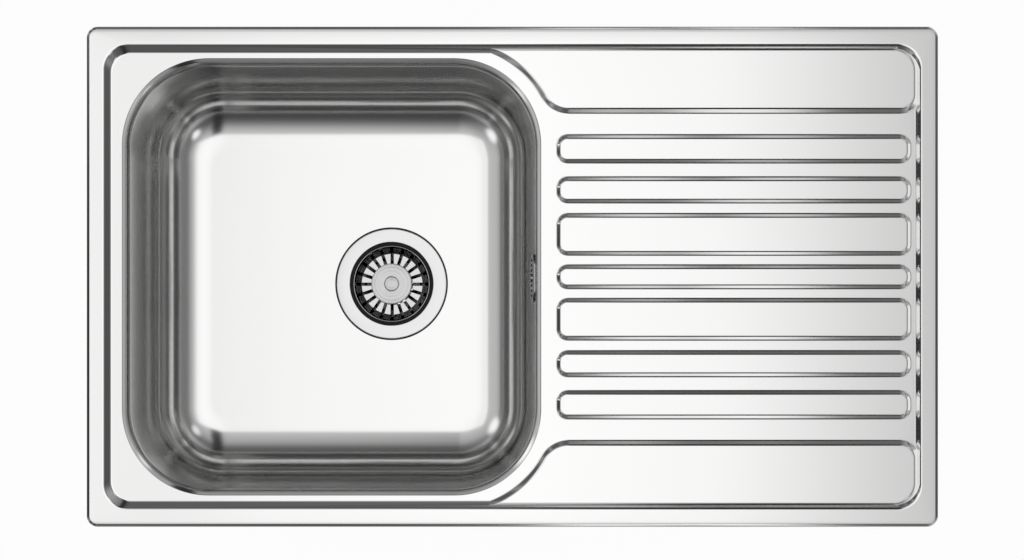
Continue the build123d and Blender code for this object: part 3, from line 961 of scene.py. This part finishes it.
    def panel_loop(self, bm: BMesh, shift: float, level: float) -> list[BMEdge]:
        """Draw one level of the back panel's wall.

        Args:
            bm: the panel's mesh.
            shift: how far inside the wall's middle it runs.
            level: its height.

        Returns:
            The loop's edges.
        """
        corner_x = self.mouth.high_x - self.mouth.corner
        corner_y = self.mouth.high_y - self.mouth.corner
        swing = self.panel_swing + shift
        reverse = self.panel_reverse - shift
        front = self.panel_front + shift
        outwards = self.panel_run / 2 - shift
        back = self.panel_back + outwards
        end = self.panel_end + outwards
        back_round = self.panel_back_corner + outwards
        front_round = self.panel_front_corner + outwards
        reverse_y = front + reverse
        reverse_x = corner_x + math.sqrt((swing + reverse) ** 2 - (reverse_y - corner_y) ** 2)
        lean = math.atan2(reverse_y - corner_y, reverse_x - corner_x)
        tip_turn = math.asin(min(1.0, (back - self.panel_tip - corner_y) / swing))
        tip_x = corner_x + swing * math.cos(tip_turn)
        pen = Pen(bm, level)
        pen.start(end, (front + back) / 2)
        pen.line(end, back - back_round)
        pen.arc(end - back_round, back - back_round, math.pi / 2, self.panel_corner_steps)
        pen.line(tip_x, back)
        pen.line(tip_x, corner_y + swing * math.sin(tip_turn))
        pen.arc(corner_x, corner_y, lean - tip_turn, self.panel_swing_steps)
        pen.arc(reverse_x, reverse_y, math.pi / 2 - lean, self.panel_reverse_steps)
        pen.line(end - front_round, front)
        pen.arc(end - front_round, front + front_round, math.pi / 2, self.panel_corner_steps)
        return pen.close()

    def panel(self, side: int) -> Object:
        """Make a corner panel as a closed block.

        Args:
            side: 1 for the back panel, -1 for the front one.

        Returns:
            The block.
        """
        bm = bmesh.new()
        middle = self.panel_run / 2
        rise = self.panel_level - DECK_LEVEL
        loops = [self.panel_loop(bm, -middle, DECK_LEVEL - self.panel_depth)]
        for run, level in s_profile(self.panel_run, rise, self.panel_low_fold, self.panel_high_fold)[1:]:
            loops.append(self.panel_loop(bm, run - middle, DECK_LEVEL + level))
        bridge(bm, loops)
        bmesh.ops.edgeloop_fill(bm, edges=loops[-1])
        bmesh.ops.edgeloop_fill(bm, edges=loops[0])
        bmesh.ops.transform(bm, matrix=Matrix.Diagonal((1, side, 1, 1)), verts=bm.verts)
        return block(f"panel {side}", bm)


@dataclass
class Bowl:
    """The deep-drawn bowl with its draft, rounded foot and waste seat."""

    finishes: Finishes
    top: SinkTop
    bottom_round: float = 0.05
    bottom_round_across: float = 0.0555
    seat_radius: float = 0.0562
    seat_drop: float = 0.002
    seat_run: float = 0.0009
    seat_fold: float = 0.0004
    hole_radius: float = 0.045
    wall_steps: int = 8
    round_steps: int = 24

    def build(self) -> None:
        """Make the bowl."""
        bm = bmesh.new()
        wall = self.wall_loops(bm)
        bridge(bm, wall)
        seat = self.seat_rings(bm)
        bridge(bm, seat)
        fill_flat(bm, wall[-1] + seat[-1])
        bmesh.ops.recalc_face_normals(bm, faces=bm.faces)
        if sum(face.normal.z * face.calc_area() for face in bm.faces) < 0:
            bmesh.ops.reverse_faces(bm, faces=bm.faces)
        thicken(finished("bowl_shell", bm, self.finishes["bowl_steel"], "sink", "bowl"), self.top.sheet)

    def wall_loops(self, bm: BMesh) -> list[list[BMEdge]]:
        """Draw the drafted wall and the rounding at its foot.

        Args:
            bm: the bowl's mesh.

        Returns:
            The loops from the collar down to the floor.
        """
        top = self.top
        steep = math.atan(top.draft)
        start_inset = top.mouth_profile()[-1][0]
        wall_end = FLOOR_LEVEL + self.bottom_round * (1 - math.sin(steep))
        loops = []
        for step in range(self.wall_steps + 1):
            level = top.collar_level + (wall_end - top.collar_level) * step / self.wall_steps
            inset = start_inset + top.draft * (top.collar_level - level)
            loops.append(top.mouth.inset(inset).draw(bm, level, top.mouth_steps))
        wall_inset = start_inset + top.draft * (top.collar_level - wall_end)
        more_across = self.bottom_round_across - self.bottom_round
        for step in range(1, self.round_steps + 1):
            turn = steep + (math.pi / 2 - steep) * step / self.round_steps
            share = math.cos(steep) - math.cos(turn)
            inset = wall_inset + self.bottom_round * share
            level = FLOOR_LEVEL + self.bottom_round * (1 - math.sin(turn))
            loops.append(top.mouth.inset(inset, more_across * share).draw(bm, level, top.mouth_steps))
        guard = top.mouth.inset(inset + GUARD, more_across * share)
        loops.append(guard.draw(bm, FLOOR_LEVEL, top.mouth_steps))
        return loops

    def seat_rings(self, bm: BMesh) -> list[list[BMEdge]]:
        """Draw the step down to the waste's seat.

        Args:
            bm: the bowl's mesh.

        Returns:
            The rings from the hole out to the floor.
        """
        base = Vector((*WASTE_PLACE, FLOOR_LEVEL - self.seat_drop))
        rings = [
            circle(bm, base + Vector((0, 0, rise)), self.seat_radius + run)
            for run, rise in s_profile(self.seat_run, self.seat_drop, self.seat_fold, self.seat_fold)
        ]
        return [circle(bm, base, self.hole_radius), *rings]


@dataclass
class Waste:
    """The waste's flange and cup, and the strainer basket that lifts out of it."""

    finishes: Finishes
    steps: int = 160
    cup_section: Bends = (
        (0.0556, -0.0012, 0.0), (0.0556, 0.0, 0.0010), (0.0419, 0.0, 0.0008),
        (0.0419, -0.0120, 0.004), (0.0340, -0.0320, 0.003), (0.0300, -0.0320, 0.0),
    )
    cup_wall: float = 0.0008
    cup_screw_hole: float = 0.0061
    cup_holes: int = 6
    cup_hole: float = 0.006
    cup_hole_ring: float = 0.0215
    cup_hole_steps: int = 32
    basket_section: Bends = (
        (0.0032, -0.0130, 0.0), (0.0311, -0.0130, 0.002),
        (0.0372, -0.0078, 0.004), (0.0383, -0.0012, 0.0),
    )
    basket_fold_steps: int = 8
    basket_sheet: float = 0.0006
    slot_count: int = 20
    slot_width: float = 0.0034
    slot_inner: float = 0.0200
    slot_outer: float = 0.0368
    slot_round: float = 0.00085
    slot_round_steps: int = 3
    slot_cut_height: float = 0.02
    slot_cut_middle: float = -0.008
    turned_fold_steps: int = 4
    seal_section: Bends = (
        (0.0385, -0.0050, 0.0), (0.0385, -0.0010, 0.0004),
        (0.0417, -0.0010, 0.0006), (0.0417, -0.0050, 0.0),
    )
    knob_section: Bends = (
        (0.0032, -0.0128, 0.0), (0.0032, -0.0015, 0.0002), (0.00725, -0.0015, 0.0002),
        (0.00725, 0.0, 0.0003), (0.0205, -0.0003, 0.0008), (0.0205, -0.0030, 0.0004),
        (0.0085, -0.0030, 0.0015), (0.0085, -0.0128, 0.0),
    )
    rivet_section: Bends = (
        (0.0, 0.0003, 0.0), (0.0030, 0.00028, 0.004), (0.0069, 0.0, 0.0004), (0.0069, -0.0014, 0.0002),
        (0.0030, -0.0014, 0.0002), (0.0030, -0.0195, 0.0002), (0.0, -0.0195, 0.0),
    )

    def build(self) -> None:
        """Make the waste's visible pieces."""
        self.flange_and_cup()
        self.basket()
        self.turned("basket_seal_ring", self.seal_section, "basket_seal", closed=True)
        self.turned("strainer_knob", self.knob_section, "basket_knob", closed=True)
        self.turned("knob_rivet", self.rivet_section, "basket_rivet", closed=False)

    def centre(self) -> Vector:
        """The waste's axis at the bowl's floor."""
        return Vector((*WASTE_PLACE, FLOOR_LEVEL))

    def turned(self, name: str, section: Bends, node: str, closed: bool) -> None:
        """Turn one piece of the strainer.

        Args:
            name: the piece's name.
            section: its bends from the floor level.
            node: the node that it stands for.
            closed: whether the section is a loop; if not, it starts and ends on the axis.
        """
        bm = bmesh.new()
        lathe(bm, folded_section(section, self.turned_fold_steps), self.centre(), self.steps, closed)
        finished(name, bm, self.finishes[SLOTS[node]], "strainer", node)

    def flange_and_cup(self) -> None:
        """The flange that lies in the bowl's seat, and the cup below it."""
        bm = bmesh.new()
        centre = self.centre()
        lathe(bm, folded_section(self.cup_section), centre, self.steps)
        inner, depth = self.cup_section[-1][:2]
        edges = [
            edge for edge in bm.edges
            if edge.is_boundary and (edge.verts[0].co - centre).xy.length < inner + GUARD
        ]
        floor = centre + Vector((0, 0, depth))
        edges += circle(bm, floor, self.cup_screw_hole, self.cup_hole_steps)
        for count in range(self.cup_holes):
            turn = Matrix.Rotation(math.tau * count / self.cup_holes, 3, "Z")
            hole = floor + turn @ Vector((self.cup_hole_ring, 0, 0))
            edges += circle(bm, hole, self.cup_hole, self.cup_hole_steps)
        fill_flat(bm, edges)
        bmesh.ops.recalc_face_normals(bm, faces=bm.faces)
        outermost = max(bm.faces, key=lambda face: (face.calc_center_median() - centre).xy.length)
        if outermost.normal.dot(outermost.calc_center_median() - centre) < 0:
            bmesh.ops.reverse_faces(bm, faces=bm.faces)
        # the cup below the flange is painted near black, as shade
        steel = self.finishes["flange_steel_painted_shade"]
        thicken(finished("waste_flange_and_cup", bm, steel, "sink", "strainer_cup"), self.cup_wall)

    def basket(self) -> None:
        """The pressed basket with its radial slots."""
        bm = bmesh.new()
        section = folded_section(self.basket_section, self.basket_fold_steps)
        lathe(bm, section, self.centre(), self.steps)
        bmesh.ops.solidify(bm, geom=list(bm.faces), thickness=self.basket_sheet)
        cut = combined(block("basket", bm), self.slot_cutters(), "DIFFERENCE")
        # the basket's sloping ring is painted darker, as shade
        finished("strainer_basket", unwrapped(cut), self.finishes["pressed_steel_painted_shade"], "strainer", "basket")

    def slot_cutters(self) -> Object:
        """The blocks that cut the basket's slots.

        Returns:
            All of them as one block.
        """
        bm = bmesh.new()
        size = Vector((self.slot_outer - self.slot_inner, self.slot_width, self.slot_cut_height))
        middle = Vector(((self.slot_outer + self.slot_inner) / 2, 0, self.slot_cut_middle))
        for count in range(self.slot_count):
            turn = Matrix.Rotation(math.tau * count / self.slot_count, 4, "Z")
            place = Matrix.Translation(self.centre()) @ turn @ Matrix.Translation(middle)
            made = bmesh.ops.create_cube(bm, size=1, matrix=place @ Matrix.Diagonal(size.to_4d()))
            upright = [
                edge for edge in {edge for vert in made["verts"] for edge in vert.link_edges}
                if abs(edge.verts[0].co.z - edge.verts[1].co.z) > self.slot_cut_height / 2
            ]
            bmesh.ops.bevel(
                bm, geom=upright, offset=self.slot_round, segments=self.slot_round_steps,
                profile=0.5, affect="EDGES", material=-1,
            )
        return block("slots", bm)


@dataclass
class Dressing:
    """Finishes for the CAD nodes, most of which keep their own shape."""

    finishes: Finishes
    # the overflow rose and screw take the basket's steel, so they are painted darker, as shade
    shade_painted_nodes: tuple[str, str] = ("overflow_rose", "overflow_screw")

    def build(self) -> None:
        """Give every node its finish."""
        for node, slot in SLOTS.items():
            finish = self.finishes["pressed_steel_painted_shade" if node in self.shade_painted_nodes else slot]
            materials = frame["nodes"][node].data.materials
            materials.clear()
            materials.append(finish)
            log.info("%s: %s", node, finish.name)


# ---- studio ----


@dataclass(frozen=True)
class SkyPatch:
    """A soft bright or dark patch of the studio's walls, by the direction it is seen in.

    The azimuth is in degrees from the drainer's end towards the back, and the zenith in degrees
    from straight up. The radius and the soft edge's half width are in degrees too.
    """

    azimuth: float
    zenith: float
    radius: float
    strength: float
    edge: float = 2.5

    def direction(self) -> Vector:
        """Work out where the patch is seen.

        Returns:
            The unit vector towards its middle.
        """
        around, down = math.radians(self.azimuth), math.radians(self.zenith)
        level = math.sin(down)
        return Vector((level * math.cos(around), level * math.sin(around), math.cos(down)))

    def reach(self, share: int) -> float:
        """The cosine of the patch's radius with its soft edge added or taken away."""
        return math.cos(math.radians(self.radius + share * self.edge))


@dataclass(frozen=True)
class SkyWall:
    """One side of the studio: its direction and its brightness by angle from straight up."""

    towards: tuple[float, float]
    levels: Pairs


def by_height(levels: Pairs) -> Points:
    """Turn angles from straight up into heights of a unit direction."""
    return [(math.cos(math.radians(zenith)), level) for zenith, level in levels]


@dataclass
class Studio:
    """Floor, ceiling light, walls and camera."""

    camera_height: float = 2.226
    camera_place: tuple[float, float] = (-0.0003, -0.095)
    camera_reach: float = 20.0
    photo_width: float = 1024.0
    photo_height: float = 560.0
    metres_per_pixel: float = 0.0009412
    centre_pixel: tuple[float, float] = (512.36, 276.85)
    sensor: float = 36.0
    disc_steps: int = 64
    floor_level: float = -0.26
    floor_radius: float = 6.0
    floor_grey: float = 0.8
    floor_roughness: float = 0.9
    floor_white: float = 0.94  # the white's share in what the camera sees; the rest keeps the shadow
    ceiling_height: float = 1.2
    ceiling_reach: float = 1.1
    ceiling_lengthwise: Pairs = (
        (-0.84, 0.0), (-0.76, 0.5), (-0.5, 0.45), (-0.33, 0.56), (0.0, 0.62), (0.3, 0.54),
        (0.4, 0.42), (0.56, 0.17), (0.7, 0.05), (0.8, 0.0),
    )
    ceiling_across: Pairs = ((-0.44, 0.0), (-0.38, 1.0), (0.44, 1.0), (0.5, 0.0))
    fill: float = 0.85
    walls: tuple[SkyWall, ...] = (
        SkyWall((1, 0), (
            (90, 0.1), (78, 0.07), (70, 0.14), (64, 0.22), (53, 0.2), (48, 0.24), (43, 0.42), (30, 0.6),
            (0, 0.6),
        )),
        SkyWall((-1, 0), (
            (90, 0.08), (82, 0.03), (74, 0.04), (65, 0.12), (60, 0.28), (56, 0.48), (48, 0.58), (30, 0.6),
            (0, 0.6),
        )),
        SkyWall((0, 1), (
            (90, 0.12), (80, 0.1), (66, 0.09), (60, 0.13), (54, 0.2), (48, 0.38), (40, 0.5), (30, 0.6),
            (0, 0.6),
        )),
        SkyWall((0, -1), (
            (90, 0.14), (77, 0.1), (60, 0.06), (51, 0.11), (43, 0.25), (36, 0.44), (29, 0.6), (0, 0.6),
        )),
    )
    corner_levels: Pairs = ((90, 0.6), (85, 0.4), (75, 0.35), (66, 0.32), (60, 0.0))
    patches: tuple[SkyPatch, ...] = (
        # dark columns before and behind the sink, for the dark lines of the ribs and the bowl
        SkyPatch(-79, 31, 5, 0.04),
        SkyPatch(-80, 39, 6, 0.03),
        SkyPatch(-82, 47, 6, 0.03),
        SkyPatch(-83, 56, 6, 0.03),
        SkyPatch(-83, 63, 4.5, 0.03),
        SkyPatch(79, 30, 5, 0.04),
        SkyPatch(80, 38, 6, 0.03),
        SkyPatch(82, 47, 6, 0.03),
        SkyPatch(83, 56, 6, 0.03),
        SkyPatch(83, 66, 6, 0.03),
        # a grey ground low in front and behind
        SkyPatch(-89, 73.5, 5, 0.15, 1.5),
        SkyPatch(-82, 73.5, 5, 0.14, 1.5),
        SkyPatch(89, 79.5, 4.5, 0.15, 1.5),
        SkyPatch(82, 79.5, 4.5, 0.14, 1.5),
        # small lights on that ground, for the bright streaks in the ribs' walls
        SkyPatch(-83.5, 71, 1.6, 1.2, 1.5),
        SkyPatch(-88, 71.5, 0.8, 1.0, 1),
        SkyPatch(-87.5, 73.2, 1.0, 1.1, 1.2),
        SkyPatch(-84, 74.8, 1.8, 1.2, 1.5),
        SkyPatch(-87.5, 76.5, 1.4, 1.2, 1.5),
        SkyPatch(-82.5, 77.2, 1.2, 1.0, 1.2),
        SkyPatch(87.5, 77.2, 1.2, 0.9, 1.2),
        SkyPatch(83, 78.2, 1.2, 0.9, 1.2),
        SkyPatch(88, 80.2, 1.2, 0.9, 1.2),
        SkyPatch(84, 81.8, 1.2, 0.9, 1.2),
        # one light for the ribs' left ends, and dark beside it for their corners
        SkyPatch(168, 75, 4, 1.1, 2),
        SkyPatch(-118, 80, 10, 0.1, 3),
        SkyPatch(-140, 80, 10, 0.1, 3),
        SkyPatch(118, 80, 10, 0.1, 3),
        SkyPatch(140, 80, 10, 0.1, 3),
        # four soft lights that show in the rounded corners of the bowl
        SkyPatch(-42, 50, 5, 1.2, 4),
        SkyPatch(44, 50, 5, 1.0, 4),
        SkyPatch(150, 57, 8, 1.2, 5),
        SkyPatch(-147, 57, 7, 1.2, 5),
    )

    def build(self) -> None:
        """Set up everything round the sink."""
        self.camera()
        self.floor()
        self.ceiling()
        self.sky()
        bpy.context.scene.view_settings.view_transform = "Standard"

    def camera(self) -> None:
        """A camera straight above, a little to the front, shifted back on to the sink."""
        lens = bpy.data.cameras.new("camera")
        width = self.photo_width * self.metres_per_pixel
        lens.sensor_width = self.sensor
        lens.lens = self.sensor * self.camera_height / width
        middle_x = (self.photo_width / 2 - self.centre_pixel[0]) * self.metres_per_pixel
        middle_y = (self.centre_pixel[1] - self.photo_height / 2) * self.metres_per_pixel
        lens.shift_x = (middle_x - self.camera_place[0]) / width
        lens.shift_y = (middle_y - self.camera_place[1]) / width
        lens.clip_end = self.camera_reach
        camera = in_scene("camera", lens)
        camera.location = (*self.camera_place, DECK_LEVEL + self.camera_height)
        bpy.context.scene.camera = camera

    def disc(self, name: str, level: float, radius: float) -> tuple[Object, Material, Wiring, Node]:
        """Make a level disc of the studio.

        Args:
            name: what it is called.
            level: its height.
            radius: its radius.

        Returns:
            The disc, its material, and that material's wiring and shader.
        """
        bm = bmesh.new()
        bmesh.ops.create_circle(
            bm, cap_ends=True, segments=self.disc_steps, radius=radius,
            matrix=Matrix.Translation((0, 0, level)),
        )
        piece = in_scene(name, mesh_from(name, bm))
        made, wiring, shader = new_material(name)
        piece.data.materials.append(made)
        return piece, made, wiring, shader

    def floor(self) -> None:
        """A plain white floor, clear from below, that is seen as white and keeps the sink's shadow."""
        _, made, wiring, shader = self.disc("white floor", self.floor_level, self.floor_radius)
        grey = self.floor_grey
        feeds = {"Base Color": (grey, grey, grey, 1), "Roughness": self.floor_roughness}
        wiring.feed(shader, feeds | {"Specular IOR Level": 0})
        path = wiring.add("LightPath").outputs
        seen = path["Is Camera Ray"]
        for kind in ("Is Glossy Ray", "Is Transmission Ray"):
            seen = wiring.math("MAXIMUM", seen, path[kind])
        share = wiring.math("MULTIPLY", seen, self.floor_white)
        white = wiring.add("Emission", {"Strength": 1.0}).outputs["Emission"]
        above = wiring.add("MixShader", {"Fac": share, 1: shader.outputs["BSDF"], 2: white})
        below = wiring.add("NewGeometry").outputs["Backfacing"]
        clear = wiring.add("BsdfTransparent").outputs["BSDF"]
        both = wiring.add("MixShader", {"Fac": below, 1: above.outputs["Shader"], 2: clear})
        wiring.feed(made.node_tree.nodes["Material Output"], {"Surface": both.outputs["Shader"]})

    def ceiling(self) -> None:
        """A long soft light overhead, dimmer towards its ends, that the camera looks through."""
        piece, made, wiring, _ = self.disc("ceiling light", self.ceiling_height, self.ceiling_reach)
        piece.visible_camera = False
        piece.visible_transmission = False
        reach = self.ceiling_reach
        parts = wiring.parts(wiring.add("TexCoord").outputs["Object"])
        shares = []
        for axis, stops in (("X", self.ceiling_lengthwise), ("Y", self.ceiling_across)):
            along = wiring.range(parts[axis], -reach, reach)
            places = [((where + reach) / (2 * reach), level) for where, level in stops]
            shares.append(wiring.ramp(along, places))
        glow = wiring.add("Emission", {"Strength": wiring.math("MULTIPLY", *shares)}).outputs["Emission"]
        clear = wiring.add("BsdfTransparent").outputs["BSDF"]
        over = wiring.add("AddShader", {0: clear, 1: glow}).outputs["Shader"]
        wiring.feed(made.node_tree.nodes["Material Output"], {"Surface": over})

    def sky(self) -> None:
        """A room that is white to the camera, pale to dull surfaces and mostly dark to steel."""
        world = bpy.data.worlds.new("studio")
        bpy.context.scene.world = world
        world.use_nodes = True
        wiring = Wiring(world.node_tree)
        place = wiring.add("TexCoord").outputs["Generated"]
        height = wiring.parts(place)["Z"]
        heading = wiring.direction("NORMALIZE", wiring.direction("MULTIPLY", place, FLAT))
        total = self.corner_light(wiring, heading, height)
        for wall in self.walls:
            total = wiring.math("ADD", total, self.wall_light(wiring, wall, heading, height))
        for patch in self.patches:
            near = wiring.measure("DOT_PRODUCT", place, patch.direction())
            share = wiring.range(near, patch.reach(1), patch.reach(-1), smooth=True)
            total = wiring.between(share, total, patch.strength)
        path = wiring.add("LightPath").outputs
        total = wiring.between(path["Is Diffuse Ray"], total, self.fill)
        total = wiring.between(path["Is Camera Ray"], total, 1.0)
        wiring.feed(world.node_tree.nodes["Background"], {"Color": total})

    def wall_light(
        self, wiring: Wiring, wall: SkyWall, heading: NodeSocket, height: NodeSocket
    ) -> NodeSocket:
        """The light of one side of the room, fading out towards its neighbours.

        It goes by the square of the cosine, so that the sides' shares add up to one.

        Args:
            wiring: the world's wiring.
            wall: the side.
            heading: the direction's level part, of unit length.
            height: the direction's rise.

        Returns:
            The side's light.
        """
        facing = wiring.measure("DOT_PRODUCT", heading, (*wall.towards, 0))
        weight = wiring.math("POWER", wiring.math("MAXIMUM", facing, 0), 2)
        return wiring.math("MULTIPLY", weight, wiring.ramp(height, by_height(wall.levels)))

    def corner_light(self, wiring: Wiring, heading: NodeSocket, height: NodeSocket) -> NodeSocket:
        """Light low down in the room's four corners, for views from the side.

        Args:
            wiring: the world's wiring.
            heading: the direction's level part, of unit length.
            height: the direction's rise.

        Returns:
            The corners' light.
        """
        parts = wiring.parts(heading)
        skew = wiring.math("MULTIPLY", wiring.math("MULTIPLY", parts["X"], parts["Y"]), 2)
        weight = wiring.math("MULTIPLY", skew, skew)
        return wiring.math("MULTIPLY", weight, wiring.ramp(height, by_height(self.corner_levels)))


def main() -> None:
    """Build the sink, its finishes and the studio."""
    logging.basicConfig(level=logging.INFO, format="%(name)s %(message)s")
    finishes = make_finishes()
    Dressing(finishes).build()
    top = SinkTop(finishes)
    top.build()
    Bowl(finishes, top).build()
    Waste(finishes).build()
    Studio().build()


if __name__ == "__main__":
    main()
